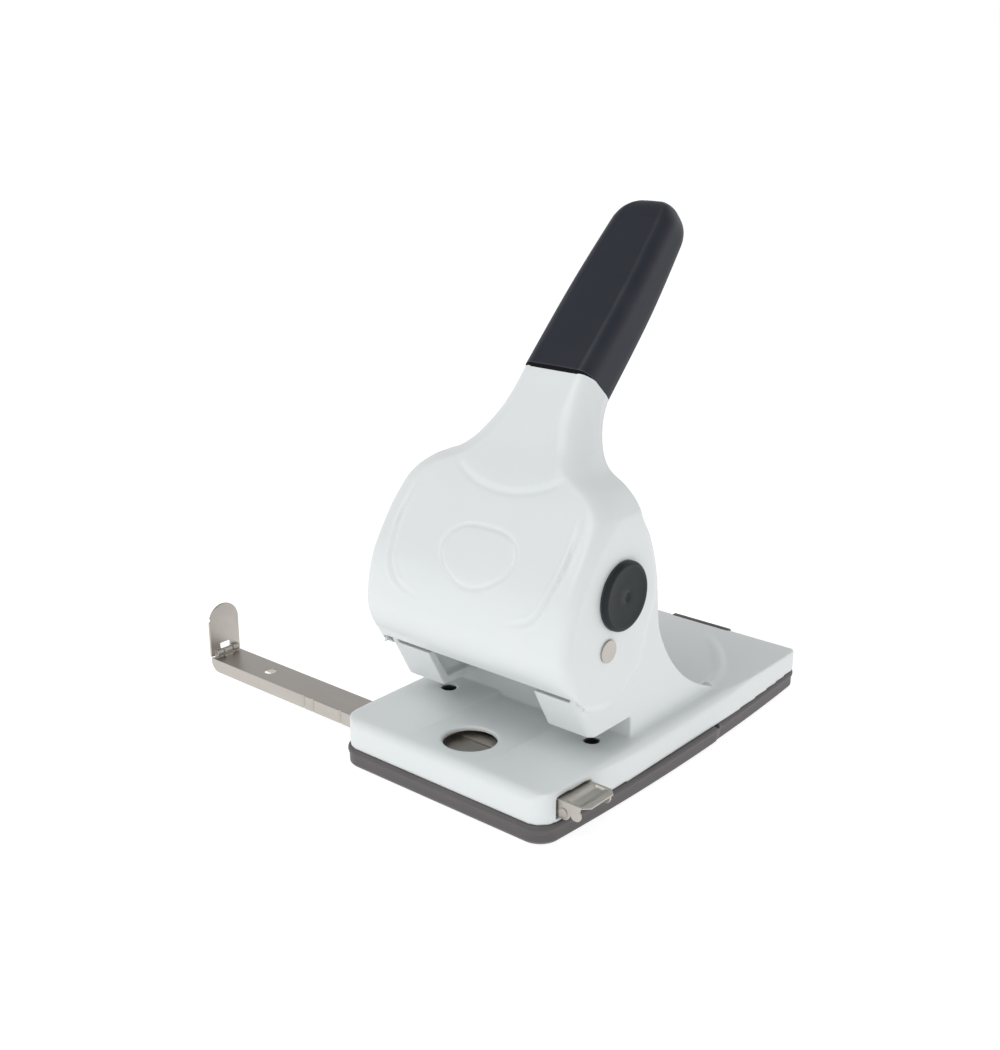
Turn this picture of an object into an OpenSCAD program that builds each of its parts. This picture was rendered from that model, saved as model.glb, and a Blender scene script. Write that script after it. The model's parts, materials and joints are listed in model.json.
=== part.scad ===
// Heavy-duty two-hole paper punch: long base, upright lever that is pressed
// down over the rear of the base, side ruler with a folding paper stop.
// Millimetres. +Z is up, +X is to the right of someone who feeds paper in
// from the front (-Y). The origin is on the table, midway between the pins.

/* [Punching] */
// Distance between the two punched holes
hole_spacing = 80; // [78:0.5:82]
// Diameter of the punched holes
pin_d = 6; // [5:0.5:6]
// From the hole centre to the edge of the paper
edge_distance = 12; // [11:0.5:13]
// How far the punches travel
stroke = 11.8; // [11.6:0.1:12]

/* [Base] */
// Length of the base from front to rear
base_len = 200.5; // [198:0.5:204]
// Distance from the hole line to the front of the base
base_front = 51.8; // [50:0.1:54]
// Width of the base at its widest
base_w = 118; // [116:1:122]
// Height of the table that the paper lies on
deck_z = 22; // [21.8:0.1:22.2]
// Height of the dark tray and pad under the base
tray_h = 8.4; // [8:0.1:8.6]
// Height of the slot that the paper goes into
throat_h = 9.5; // [9:0.1:9.8]

/* [Lever] */
// Angle that the lever turns through
lever_turn = 44; // [42:0.5:44]
// Thickness of the lever hood's steel sheet
sheet = 1.4; // [1.2:0.1:1.5]
// Lean of the grip from upright
grip_lean = 45.4; // [44:0.2:47]
// Length of the grip
grip_len = 93; // [88:1:96]

/* [Ruler] */
// Width of the ruler
ruler_w = 16.4; // [16:0.1:16.6]
// From the hole centre line to the paper stop
stop_x = 157; // [150:0.5:160]

/* [Hidden] */
$fn = 64;
eps = 0.05;

// Colours of the real finishes
white_paint = [0.88, 0.90, 0.90];
dark_rubber = [0.27, 0.27, 0.27];
navy_plastic = [0.19, 0.21, 0.25];
slate_plastic = [0.23, 0.25, 0.26];
nickel = [0.74, 0.72, 0.69];
tool_steel = [0.45, 0.46, 0.48];

// Places that several pieces share
pin_x = hole_spacing / 2;
pin_r = pin_d / 2;
running = 0.05;
pivot = [-10.5, 69.5];            // lever axle, as [y, z]
shaft = [-2, 90.5];               // press shaft at rest, as [y, z]
shaft_reach = norm(shaft - pivot);
shaft_angle = atan2(shaft[1] - pivot[1], shaft[0] - pivot[0]);
axle_r = 4;
shaft_r = 5;
roller_r = 7;
base_rear = base_len - base_front;
bow_y = 45;                       // where the bowed sides are widest
bow_r = 1250;
block_z = deck_z + throat_h;      // underside of the two guide blocks
block_top = 50;
block_front = [-15.3, -25.2];     // front of a guide block at its bottom and top
block_in = 28.7;                  // inner and outer faces of the guide blocks
cheek_out = 51.3;
cheek_t = 4;
wall = 3;
deck_t = 3.2;
tip_rest = 29.7;                  // punch tips when the lever is up
die_t = 4;
hood_out = 54.5;
hood_in = hood_out - sheet;

// The crosshead's two pads are crowned, so that the rollers stay on them
// while the press shaft swings back and the crosshead goes straight down.
shaft_end_y = pivot[0] + shaft_reach * cos(shaft_angle - lever_turn);
shaft_mid = pivot + shaft_reach * [cos(shaft_angle - lever_turn / 2), sin(shaft_angle - lever_turn / 2)];
crown_chord = shaft_end_y - shaft[0];
crown_rise = shaft_mid[1] + stroke / 2 - shaft[1];
crown_path_r = (crown_chord * crown_chord / 4 + crown_rise * crown_rise) / (2 * crown_rise);
crown_gap = 0.3;
crown_r = crown_path_r - roller_r - crown_gap;
crown = [shaft[0] + crown_chord / 2, shaft[1] + crown_rise - crown_path_r];

// Ruler and its guide, all centred on ruler_y
ruler_y = -33;
ruler_top = 16.4;
ruler_h = 6.4;
ruler_t = 0.8;
ruler_inner_end = 22;
guide_gap = 0.2;
guide_t = 0.7;
guide_in = ruler_w / 2 + guide_gap;
guide_out = guide_in + guide_t;
guide_top = ruler_top + guide_gap + guide_t;
cutout_w = 21;
cutout_z = [9.4, 19.2];
window = [0, -31];
window_r = 11.5;
rim_depth = 1.2;                  // rounding round the window
window_gap_half = 14;             // the guide is open this far each side of the window's middle
flange_half = 16;                 // the guide's flange behind the window
flange_y = -17.6;
clip_pivot = [58.5, 13.5];        // as [x, z]
clip_ear_in = guide_out + 0.1;
clip_ear_out = clip_ear_in + 0.8;
clip_plate_z = 17.8;
clip_t = 0.7;
clip_x = [54.2, 70];
clip_ear_end = 67;
clip_lobe = [64.4, 14.3];         // thumb rest below the plate, as [x, z]
clip_lobe_r = 2.7;

// Tray hinge and stop hinge
tray_hinge = [67, 3.5];           // as [y, z]
tray_rod_r = 1.25;
stop_hinge = [-stop_x + 1.5, 18.6]; // as [x, z]
stop_knuckle_r = 1.6;
stop_pin_r = 0.8;
middle_knuckle = 2.4;              // half length of the ruler's knuckle
end_knuckle = 3.8;                 // length of each of the stop's knuckles
knuckle_gap = 0.45;

// Profile of a 2D shape drawn as [y, z], carried along X from x0 to x1
module along_x(x0, x1) {
    translate([x0, 0, 0]) rotate([90, 0, 90]) linear_extrude(x1 - x0) children();
}

// Profile of a 2D shape drawn as [x, z], carried along Y from y0 to y1
module along_y(y0, y1) {
    translate([0, y1, 0]) rotate([90, 0, 0]) linear_extrude(y1 - y0) children();
}

module rod_x(x0, x1, r, at) {
    translate([x0, at[0], at[1]]) rotate([0, 90, 0]) cylinder(h = x1 - x0, r = r);
}

module rod_y(y0, y1, r, at) {
    translate([at[0], y1, at[1]]) rotate([90, 0, 0]) cylinder(h = y1 - y0, r = r);
}

module block(low, high) {
    translate(low) cube(high - low);
}

module mirrored_x() {
    children();
    mirror([1, 0, 0]) children();
}

// Smooth curve through the points of a list, with n steps between points
function curve_point(a, b, c, d, t) =
    0.5 * (2 * b + (c - a) * t + (2 * a - 5 * b + 4 * c - d) * t * t
           + (3 * b - a - 3 * c + d) * t * t * t);
function smooth_line(p, n = 3) =
    let (last = len(p) - 1)
    concat([for (i = [0 : last - 1]) for (k = [0 : n - 1])
            curve_point(p[max(i - 1, 0)], p[i], p[i + 1], p[min(i + 2, last)], k / n)], [p[last]]);

// Points of a curve moved sideways by t, to the right of its direction
function moved_right(p, t) =
    [for (i = [0 : len(p) - 1])
        let (a = p[max(i - 1, 0)], b = p[min(i + 1, len(p) - 1)], d = (b - a) / norm(b - a))
        p[i] + t * [d[1], -d[0]]];
function arc_points(centre, r, a0, a1, n = 12) =
    [for (i = [0 : n]) centre + r * [cos(a0 + (a1 - a0) * i / n), sin(a0 + (a1 - a0) * i / n)]];
function flipped(p) = [for (i = [len(p) - 1 : -1 : 0]) [-p[i][0], p[i][1]]];

corner_in = 3.1;                  // the corners' sides are this far inside the widest place
// Plan of the base, grown outwards by d: a long rectangle with bowed sides
// and rounded corners, from y0 to y1
module base_plan(d = 0, y0 = -base_front, y1 = base_rear, corner = 9) {
    low = y0 - d;
    high = y1 + d;
    r = corner + d;
    corner_x = base_w / 2 - corner_in + d;
    intersection() {
        translate([-(bow_r - base_w / 2), bow_y]) circle(r = bow_r + d, $fn = 360);
        translate([bow_r - base_w / 2, bow_y]) circle(r = bow_r + d, $fn = 360);
        union() {
            translate([-corner_x + r, low]) square([2 * (corner_x - r), high - low]);
            translate([-base_w, low + r]) square([2 * base_w, high - low - 2 * r]);
            for (x = [-corner_x + r, corner_x - r]) for (y = [low + r, high - r])
                translate([x, y]) circle(r = r);
        }
    }
}

// Side view of the base's top: level to the cheeks, then falling to the rear
deck_fall_y = 75;
deck_rear_z = 18.4;
edge_r = 4;
module deck_side(d = 0) {
    polygon(concat(
        [[-base_front + d, 0]],
        arc_points([-base_front + edge_r, deck_z - edge_r], edge_r - d, 180, 90, 6),
        [[deck_fall_y, deck_z - d]],
        arc_points([base_rear - edge_r, deck_rear_z - edge_r], edge_r - d, 87, 0, 6),
        [[base_rear - d, 0]]));
}

module deck_front(d = 0) {
    half = base_w / 2 - 0.4;
    right = arc_points([half - edge_r, deck_z - edge_r], edge_r - d, 90, 0, 6);
    polygon(concat([[-half + d, 0]], flipped(right), right, [[half - d, 0]]));
}

// Side view of one cheek, with the guide block below it. The rear edge sweeps
// down into the base.
cheek_top = [for (p = [[33.5, 80], [35.5, 60], [41.5, 38]])
             pivot + p[0] * [cos(p[1]), sin(p[1])]];
cheek_rear = [[28.2, 89.5], [29.6, 76], [31.2, 64.5], [38.8, 50.5], [49, 38.6], [62, 29.2], [76, 22.5],
              [90, deck_z - 2]];
module cheek_side() {
    polygon(concat(
        [[block_front[0], block_z], [block_front[1], block_top]],
        arc_points(pivot, 18, 205, 112, 8),
        cheek_top,
        smooth_line(cheek_rear),
        [[90, deck_z - 3], [edge_distance, deck_z - 3], [edge_distance, block_z]]));
}

// Curved slot that the press shaft swings through
slot_gap = 0.6;
slot_end_extra = 0.1;
module shaft_slot() {
    slot_r = shaft_r + slot_gap;
    intersection() {
        difference() {
            translate(pivot) circle(r = shaft_reach + slot_r);
            translate(pivot) circle(r = shaft_reach - slot_r);
        }
        polygon([pivot,
                 pivot + 2 * shaft_reach * [cos(shaft_angle - lever_turn), sin(shaft_angle - lever_turn)],
                 pivot + 2 * shaft_reach * [cos(shaft_angle), sin(shaft_angle)]]);
    }
    // The round ends are a little wider, so that their outlines cross the arcs
    for (a = [shaft_angle, shaft_angle - lever_turn])
        translate(pivot + shaft_reach * [cos(a), sin(a)]) circle(r = slot_r + slot_end_extra);
}

module ruler_cutouts() {
    mirrored_x() block([base_w / 2 - 10, ruler_y - cutout_w / 2, cutout_z[0]],
                       [base_w, ruler_y + cutout_w / 2, cutout_z[1]]);
}

// Shallow paper recess: level with the deck in front, deepest at the throat
recess_half = 19.6;
recess_front_y = -45;
recess_depth = 2;
module paper_recess() {
    along_x(-recess_half, recess_half)
        polygon([[recess_front_y, deck_z], [edge_distance, deck_z - recess_depth],
                 [edge_distance, deck_z + 1], [recess_front_y, deck_z + 1]]);
}

module base_body() {
    difference() {
        intersection() {
            translate([0, 0, tray_h]) linear_extrude(deck_z - tray_h) base_plan();
            along_x(-base_w, base_w) deck_side();
            along_y(-base_front - 1, base_rear + 1) deck_front();
        }
        difference() {
            intersection() {
                translate([0, 0, tray_h - 1]) linear_extrude(deck_z) base_plan(-wall);
                along_x(-base_w, base_w) translate([0, -deck_t]) deck_side(0.1);
            }
            for (x = [-pin_x, pin_x]) translate([x, 0, die_boss_z]) cylinder(h = deck_z, r = die_boss_r);
            for (p = guide_screw_points) translate([p[0], p[1], guide_top])
                cylinder(h = deck_z, r = guide_boss_r);
            for (p = pad_screw_points) translate([p[0], p[1], tray_h])
                cylinder(h = deck_z, r = pad_boss_r);
        }
    }
}
deck_skin = 1.2;                  // painted skin over each die
die_top = deck_z - deck_skin;
die_boss_z = 14;
die_boss_r = 10;
throat_wall_top = 58;
guide_screw_points = [for (x = [-36, 36]) for (s = [-1, 1]) [x, ruler_y + s * 12.6]];
pad_screw_points = [for (x = [-42, 42]) for (y = [88, 136]) [x, y]];
rear_notch_half = 17;
guide_boss_r = 3.5;
pad_boss_r = 4.5;
guide_screw_r = 1.2;
pad_screw_r = 1.6;

// Pocket in the inner side of each guide block, open at the top
pocket_depth = 4.5;
pocket_front = [-12.5, -21.5];    // at its floor and at its top
pocket_rear = 9;
pocket_floor = block_z + 3.5;
module block_pocket() {
    along_x(block_in - 1, block_in + pocket_depth)
        polygon([[pocket_front[0], pocket_floor], [pocket_rear, pocket_floor],
                 [pocket_rear, block_top + 1], [pocket_front[1], block_top + 1]]);
}

// What the rounding takes off the upright front edge of the right-hand block
block_edge_r = 3.2;
block_lean = atan2(block_front[0] - block_front[1], block_top - block_z);
module block_edge_waste() {
    translate([cheek_out, block_front[0], block_z]) rotate([block_lean, 0, 0]) translate([0, 0, -4])
        difference() {
            block([-block_edge_r, -1, 0], [1, block_edge_r, 32]);
            translate([-block_edge_r, block_edge_r, -1]) cylinder(h = 34, r = block_edge_r);
        }
}

module base_casting() {
    color(white_paint)
    difference() {
        union() {
            base_body();
            mirrored_x() along_x(cheek_out - cheek_t, cheek_out) cheek_side();
            mirrored_x() along_x(block_in, cheek_out - eps)
                polygon([[block_front[0], block_z], [edge_distance + 0.1, block_z],
                         [edge_distance + 0.1, block_top], [block_front[1], block_top]]);
            block([-cheek_out + 1, edge_distance, deck_z - 3],
                  [cheek_out - 1, edge_distance + wall, throat_wall_top]);
        }
        mirrored_x() along_x(cheek_out - cheek_t - 1, cheek_out + 1) shaft_slot();
        rod_x(-cheek_out - 1, cheek_out + 1, axle_r + 0.01, pivot);
        for (x = [-pin_x, pin_x]) {
            translate([x, 0, block_z - 1]) cylinder(h = 30, r = bush_r);
            translate([x, 0, 0]) cylinder(h = die_top, r = die_r);
            translate([x, 0, 0]) cylinder(h = deck_z + 1, r = pin_r + 0.4);
        }
        mirrored_x() block_edge_waste();
        mirrored_x() block_pocket();
        paper_recess();
        translate([window[0], window[1], 10]) cylinder(h = 20, r = window_r);
        translate([window[0], window[1], deck_z - rim_depth])
            cylinder(h = 2 * rim_depth, r1 = window_r - 0.1, r2 = window_r + 2 * rim_depth);
        ruler_cutouts();
        for (p = guide_screw_points) translate([p[0], p[1], guide_top - 1])
            cylinder(h = 4, r = guide_screw_r);
        for (p = pad_screw_points) translate([p[0], p[1], tray_h - 1]) cylinder(h = 8, r = pad_screw_r);
        block([-rear_notch_half, base_rear - wall - 0.5, 0], [rear_notch_half, base_rear + 1, deck_z]);
    }
}

// Hardened die ring, pressed in under the deck, and guide bush in the block above it
die_r = 7;
bush_r = 5.5;
module die(side) {
    color(tool_steel) translate([side * pin_x, 0, die_top - die_t]) difference() {
        cylinder(h = die_t, r = die_r);
        translate([0, 0, -1]) cylinder(h = die_t + 2, r = pin_r + running);
    }
}

module guide_bush(side) {
    color(tool_steel) translate([side * pin_x, 0, 0]) difference() {
        union() {
            translate([0, 0, block_z]) cylinder(h = block_top - block_z, r = bush_r);
            translate([0, 0, block_top]) cylinder(h = 1, r = bush_r + 1.2);
        }
        translate([0, 0, block_z - 1]) cylinder(h = 30, r = pin_r + running);
    }
}

// Lever axle: fixed in the cheeks, with a flat head outside each hood wall
axle_head_r = 4.8;
axle_head = [hood_out + 0.1, hood_out + 0.9]; // where the right-hand head starts and ends
module pivot_axle() {
    color(nickel) {
        rod_x(-axle_head[0], axle_head[0], axle_r, pivot);
        for (x = [-axle_head[1], axle_head[0]]) rod_x(x, x + axle_head[1] - axle_head[0], axle_head_r, pivot);
    }
}

module axle_washers() {
    color(nickel) mirrored_x() difference() {
        rod_x(cheek_out + 0.1, hood_in - 0.1, 8, pivot);
        rod_x(cheek_out - 1, hood_in + 1, axle_r + 0.1, pivot);
    }
}

// Lever hood: pressed sheet with a front panel, side walls, shoulders and neck
hood_front = [[-28.6, 53.6], [-34.6, 60.5], [-37.8, 69], [-38, 77], [-35.3, 89.5], [-30.1, 100],
              [-16.1, 120], [-8.8, 129.6], [0.8, 141], [9.8, 152.6], [22.6, 169.5]];
hood_rear = [[34.6, 157.4], [26.2, 149.6], [19.8, 141.6], [14.6, 134.6], [11.4, 128], [12, 120], [17.6, 110],
             [21.4, 100], [23.8, 90], [23.4, 81], [19, 72], [16.4, 63], [12.8, 55]];
hood_lobe = arc_points(pivot, 25, -40, -138, 12);
hood_half = [[hood_out, 40], [hood_out, 84], [hood_out, 116], [53, 124.3], [46.8, 130], [36.5, 134.6],
             [30, 140], [25.6, 146.4], [21.6, 154], [18.9, 162], [17.2, 172]];

module hood_side() {
    polygon(concat(smooth_line(hood_front), smooth_line(hood_rear), hood_lobe));
}

// Inside of the hood: open at the rear and below
module hood_side_inner() {
    front = moved_right(smooth_line(hood_front), sheet);
    top_in = front[len(front) - 1];
    polygon(concat([[front[0][0] - 3, 20]], front,
                   [top_in + 20 * [sin(grip_lean), cos(grip_lean)], [120, 160], [60, 20]]));
}

module hood_outline(t = 0) {
    right = moved_right(smooth_line(hood_half), -t);
    polygon(concat(right, flipped(right)));
}

module lever_hood() {
    color(white_paint) difference() {
        intersection() {
            along_x(-hood_out, hood_out) hood_side();
            along_y(-60, 60) hood_outline();
        }
        intersection() {
            along_x(-hood_in, hood_in) hood_side_inner();
            along_y(-60, 140) hood_outline(sheet);
        }
        rod_x(-60, 60, axle_r + running, pivot);
        rod_x(-60, 60, shaft_r + 0.01, shaft);
    }
}

// Frame of the neck and grip: x across, y out of the front face, z along the grip
module in_grip_frame() {
    translate([0, 22.6, 169.5]) rotate([-grip_lean, 0, 0]) children();
}

// Steel bar inside the neck and the grip, with a foot welded to the hood
core_half = 9;
core_t = 4;
core_depth = 8.5;
core_top = 70;
core_bottom = -34;
core_screw_at = [14, 50];
core_screw_r = 1.5;
screw_sink = 7;
module lever_core() {
    color(nickel) in_grip_frame() difference() {
        union() {
            block([-core_half, core_depth - core_t / 2, core_bottom],
                  [core_half, core_depth + core_t / 2, core_top]);
            block([-core_half, 2.2, -10], [core_half, core_depth, -6]);
        }
        for (s = core_screw_at) translate([0, 20, s]) rotate([90, 0, 0]) cylinder(h = 20, r = core_screw_r);
    }
}

// Screws that hold the grip on the bar, put in from the rear
module core_screws() {
    seat = grip_front + grip_thick[0] + 1 - screw_sink;
    color(nickel) in_grip_frame() for (s = core_screw_at) translate([0, seat, s]) rotate([90, 0, 0]) {
        cylinder(h = seat - core_depth + core_t / 2, r = core_screw_r - 0.01);
        translate([0, 0, -1.6]) cylinder(h = 1.6, r = screw_head_r);
    }
}

// Grip: a bowed sleeve with rounded corners and a domed end. Widths are
// halves, and thickness runs back from the front face.
grip_front = -1;
grip_dome = 7;
grip_level = [0.1, 42, grip_len - grip_dome - 2]; // bottom, middle and shoulders
grip_half = [17.6, 17.4, 15.4];
grip_thick = [23, 21.2, 18.6];
grip_corner = [5, 2.6];           // radii of the front and rear corners
core_fit = 0.1;
screw_head_r = 2.8;
module grip_slice(i) {
    middles = [grip_front + grip_corner[0], grip_front + grip_thick[i] - grip_corner[1]];
    for (s = [-1, 1]) for (k = [0, 1])
        translate([s * (grip_half[i] - grip_corner[k]), middles[k], grip_level[i]])
            cylinder(h = 0.2, r = grip_corner[k], $fn = 32);
}

module grip() {
    color(navy_plastic) in_grip_frame() difference() {
        hull() {
            for (i = [0 : 2]) grip_slice(i);
            for (s = [-1, 1])
                translate([s * (grip_half[2] - grip_dome - 1.5), grip_front + grip_thick[2] / 2,
                           grip_len - grip_dome])
                    sphere(r = grip_dome, $fn = 32);
        }
        block([-core_half - core_fit, core_depth - core_t / 2 - core_fit, -1],
              [core_half + core_fit, core_depth + core_t / 2 + core_fit, core_top + 0.5]);
        for (s = core_screw_at) translate([0, grip_front + grip_thick[0] + 1, s]) rotate([90, 0, 0]) {
            cylinder(h = grip_thick[0] - core_depth, r = core_screw_r);
            cylinder(h = screw_sink, r = screw_head_r + 0.2);
        }
    }
}

// Press shaft with its rollers, spring clips and side caps
module press_shaft() {
    color(tool_steel) rod_x(-hood_out - 1.5, hood_out + 1.5, shaft_r, shaft);
}

module shaft_clips() {
    color(tool_steel) mirrored_x() difference() {
        rod_x(cheek_out + 0.6, hood_in - 0.3, shaft_r + 2.5, shaft);
        rod_x(cheek_out - 1, hood_in + 1, shaft_r + 0.01, shaft);
    }
}

roller_x = [33.8, 45.8];
module roller(side) {
    color(tool_steel) difference() {
        rod_x(side > 0 ? roller_x[0] : -roller_x[1], side > 0 ? roller_x[1] : -roller_x[0], roller_r, shaft);
        rod_x(-60, 60, shaft_r + running, shaft);
    }
}

cap_r = 14.5;
cap_t = 3;
cap_rim = 0.8;                    // bevel round the cap's outer edge
cap_dimple_r = 1.6;
module cap(side) {
    color(slate_plastic) mirror([side < 0 ? 1 : 0, 0, 0]) difference() {
        union() {
            rod_x(hood_out + 0.05, hood_out + cap_t - cap_rim, cap_r, shaft);
            translate([hood_out + cap_t - cap_rim, shaft[0], shaft[1]]) rotate([0, 90, 0])
                cylinder(h = cap_rim, r1 = cap_r, r2 = cap_r - cap_rim);
        }
        rod_x(hood_out - 1, hood_out + 1.55, shaft_r + 0.01, shaft);
        rod_x(hood_out + cap_t - 0.6, hood_out + cap_t + 1, cap_dimple_r, shaft);
    }
}

// Crosshead that ties the two pins together
bar_z = [72, 78.4];
bar_half = 46;
pad_x = (roller_x[0] + roller_x[1]) / 2;
pad_half = 6.2;
module crosshead() {
    color(tool_steel) difference() {
        union() {
            block([-bar_half, crown[0] - crown_r + 0.4, bar_z[0]],
                  [bar_half, crown[0] + crown_r - 0.4, bar_z[1]]);
            for (s = [-1, 1]) intersection() {
                rod_x(s * pad_x - pad_half, s * pad_x + pad_half, crown_r, crown);
                block([-60, -40, bar_z[0]], [60, 60, 100]);
            }
        }
        for (x = [-pin_x, pin_x]) translate([x, 0, bar_z[0] - 1]) cylinder(h = 8, r = pin_r + 0.01);
    }
}

// Punch pin with a hollow-ground tip that shears paper a little at a time
tip_hollow = [1.6, 2.2];          // how far below the tip its centre is, and its radius
module punch_pin(side) {
    color(tool_steel) translate([side * pin_x, 0, 0]) difference() {
        translate([0, 0, tip_rest]) cylinder(h = bar_z[0] + 6.9 - tip_rest, r = pin_r);
        translate([0, 5, tip_rest - tip_hollow[0]]) rotate([90, 0, 0]) cylinder(h = 10, r = tip_hollow[1]);
    }
}

module pin_clips() {
    color(nickel) for (x = [-pin_x, pin_x]) translate([x, 0, bar_z[0] - 1]) difference() {
        cylinder(h = 0.95, r = pin_r + 2.6);
        translate([0, 0, -1]) cylinder(h = 3, r = pin_r + 0.01);
    }
}

// Return spring round a pin, a coil of round wire
spring_z = [block_top + 1.7, bar_z[0] - 1.7];
spring_r = 5.2;
wire_r = 0.65;
coil_turns = 5;
coil_steps = 14;
coil_sides = 6;
module pin_spring(side) {
    n = coil_turns * coil_steps;
    points = [for (i = [0 : n]) for (k = [0 : coil_sides - 1])
        let (a = 360 * i / coil_steps, b = 360 * k / coil_sides, r = spring_r + wire_r * cos(b))
        [r * cos(a), r * sin(a), spring_z[0] + (spring_z[1] - spring_z[0]) * i / n + wire_r * sin(b)]];
    sides = [for (i = [0 : n - 1]) for (k = [0 : coil_sides - 1])
        let (next = (k + 1) % coil_sides)
        [i * coil_sides + k, (i + 1) * coil_sides + k, (i + 1) * coil_sides + next, i * coil_sides + next]];
    ends = [[for (k = [0 : coil_sides - 1]) k],
            [for (k = [coil_sides - 1 : -1 : 0]) n * coil_sides + k]];
    color(nickel) translate([side * pin_x, 0, 0]) polyhedron(points, concat(sides, ends));
}

// Sheet channel under the deck that the ruler slides in
guide_x = [-53, 53];
module ruler_guide() {
    color(nickel) difference() {
        union() {
            block([guide_x[0], ruler_y - guide_out, ruler_top - ruler_h + 0.3],
                  [guide_x[1], ruler_y + guide_out, guide_top]);
            for (p = guide_screw_points)
                block([p[0] - 4, min(p[1] - 3, ruler_y), guide_top - guide_t],
                      [p[0] + 4, max(p[1] + 3, ruler_y), guide_top]);
            block([-flange_half, ruler_y + guide_in, guide_top - guide_t],
                  [flange_half, flange_y, guide_top]);
            for (s = [-1, 1]) {
                y = ruler_y + s * (guide_in + guide_out) / 2;
                block([guide_x[1] - 1, y - guide_t / 2, 11], [clip_pivot[0], y + guide_t / 2, 16]);
                rod_y(y - guide_t / 2, y + guide_t / 2, 2.5, clip_pivot);
            }
        }
        block([-80, ruler_y - guide_in, 0], [80, ruler_y + guide_in, guide_top - guide_t]);
        block([window[0] - window_gap_half, ruler_y - guide_in, 0],
              [window[0] + window_gap_half, ruler_y + guide_in, 30]);
        for (p = guide_screw_points) translate([p[0], p[1], 10]) cylinder(h = 12, r = 1.3);
        rod_y(ruler_y - 20, ruler_y + 20, rivet_r, clip_pivot);
    }
}

module ruler_guide_screws() {
    color(nickel) for (p = guide_screw_points) translate([p[0], p[1], 0]) {
        translate([0, 0, guide_top - guide_t - 1.2]) cylinder(h = 1.2, r = 2.4);
        translate([0, 0, guide_top - guide_t]) cylinder(h = 3.6, r = guide_screw_r - 0.01);
    }
}

rivet_r = 1.2;
module clip_rivets() {
    color(nickel) for (s = [-1, 1]) {
        inner = s * guide_in;
        outer = s * (clip_ear_out + 0.05);
        head = s * (clip_ear_out + 0.35);
        rod_y(ruler_y + min(inner, outer), ruler_y + max(inner, outer), rivet_r - 0.01, clip_pivot);
        rod_y(ruler_y + min(outer, head), ruler_y + max(outer, head), 2, clip_pivot);
    }
}

// Leaf spring that holds the lock clip up
module clip_spring() {
    color(nickel) block([42, ruler_y - 3, guide_top], [63, ruler_y + 3, clip_plate_z - 0.05]);
}

// Lock clip: a thumb plate with an ear on each side, over the ruler's end
module clip_ear() {
    difference() {
        union() {
            translate(clip_pivot) circle(r = 3.2);
            polygon([[clip_pivot[0] - 3.2, clip_pivot[1]], [clip_pivot[0] - 3.2, clip_plate_z + 0.4],
                     [clip_ear_end, clip_plate_z + 0.4], [clip_ear_end - 1.5, clip_pivot[1]]]);
            translate(clip_lobe) circle(r = clip_lobe_r);
        }
        translate(clip_pivot) circle(r = rivet_r + running);
    }
}

module lock_clip() {
    color(nickel) {
        difference() {
            block([clip_x[0], ruler_y - clip_ear_out, clip_plate_z],
                  [clip_x[1], ruler_y + clip_ear_out, clip_plate_z + clip_t]);
            for (s = [-1, 1]) translate([clip_x[1], ruler_y + s * clip_ear_out, 0]) rotate([0, 0, 45])
                block([-2, -2, 10], [2, 2, 30]);
        }
        for (s = [-1, 1]) {
            y = s * (clip_ear_in + clip_ear_out) / 2;
            along_y(ruler_y + y - 0.4, ruler_y + y + 0.4) clip_ear();
        }
    }
}

// Ruler: inverted channel with a knuckle for the stop, detent grooves and a hang hole
detents = [-92, -86, -68.3];
detent_r = 0.9;
hang_hole_x = -124;
hang_hole_r = 2.75;
flange_round = 5;
module ruler_bar() {
    low = ruler_top - ruler_h;
    end_x = -stop_x - 0.5;
    color(nickel) difference() {
        union() {
            difference() {
                block([end_x, ruler_y - ruler_w / 2, low],
                      [ruler_inner_end, ruler_y + ruler_w / 2, ruler_top]);
                block([end_x - 1, ruler_y - ruler_w / 2 + ruler_t, low - 1],
                      [ruler_inner_end + 1, ruler_y + ruler_w / 2 - ruler_t, ruler_top - ruler_t]);
                // The flanges' outer ends are rounded off below
                along_y(ruler_y - 20, ruler_y + 20) difference() {
                    translate([end_x - 1, low - 1]) square(flange_round + 1);
                    translate([end_x + flange_round, low + flange_round]) circle(r = flange_round);
                }
            }
            rod_y(ruler_y - middle_knuckle, ruler_y + middle_knuckle, stop_knuckle_r, stop_hinge);
            block([stop_hinge[0] - 0.2, ruler_y - middle_knuckle, ruler_top - 0.5],
                  [stop_hinge[0] + stop_knuckle_r, ruler_y + middle_knuckle, stop_hinge[1]]);
        }
        rod_y(ruler_y - 20, ruler_y + 20, stop_pin_r + 0.01, stop_hinge);
        translate([hang_hole_x, ruler_y, 0]) cylinder(h = 30, r = hang_hole_r);
        for (x = detents) translate([x, ruler_y - ruler_w / 2 - 0.5, 0]) cylinder(h = 30, r = detent_r);
    }
}

module stop_hinge_pin() {
    color(nickel) rod_y(ruler_y - 6.8, ruler_y + 6.8, stop_pin_r, stop_hinge);
}

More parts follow.
